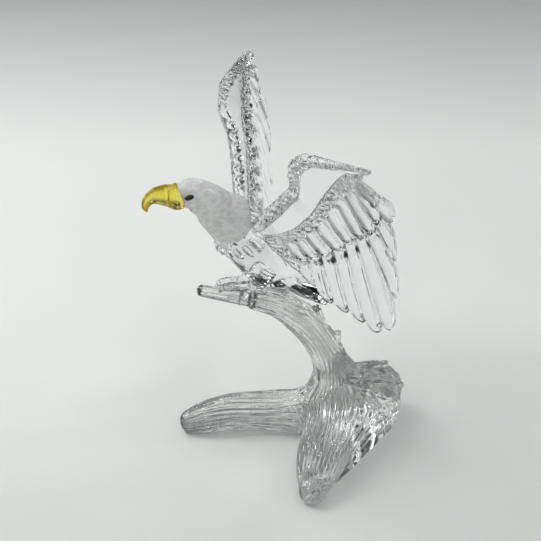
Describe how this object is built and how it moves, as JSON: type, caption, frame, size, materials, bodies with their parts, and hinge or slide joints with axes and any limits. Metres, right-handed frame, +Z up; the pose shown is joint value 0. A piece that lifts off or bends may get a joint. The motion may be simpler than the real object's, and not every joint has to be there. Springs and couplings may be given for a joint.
{
  "type": "crystal eagle figurine",
  "caption": "Clear crystal eagle with raised wings, a satin head and a yellow beak, perched on a rooted crystal branch.",
  "frame": {"origin": "on the flat underside of the branch base, under the trunk", "axes": "+Z up, the eagle faces -X and its left wing is on -Y"},
  "size_m": [0.1117, 0.1454, 0.1564],
  "materials": {
    "clear_crystal": "clear, polished",
    "satin_crystal": "satin, sand-blasted",
    "yellow_crystal": "clear yellow, polished",
    "black_glass": "glossy"
  },
  "bodies": {
    "root": {"branch_base": "clear_crystal", "body": "clear_crystal", "head": "satin_crystal", "beak": "yellow_crystal", "left_wing": "clear_crystal", "right_wing": "clear_crystal", "left_eye": "black_glass", "right_eye": "black_glass"}
  },
  "joints": []
}
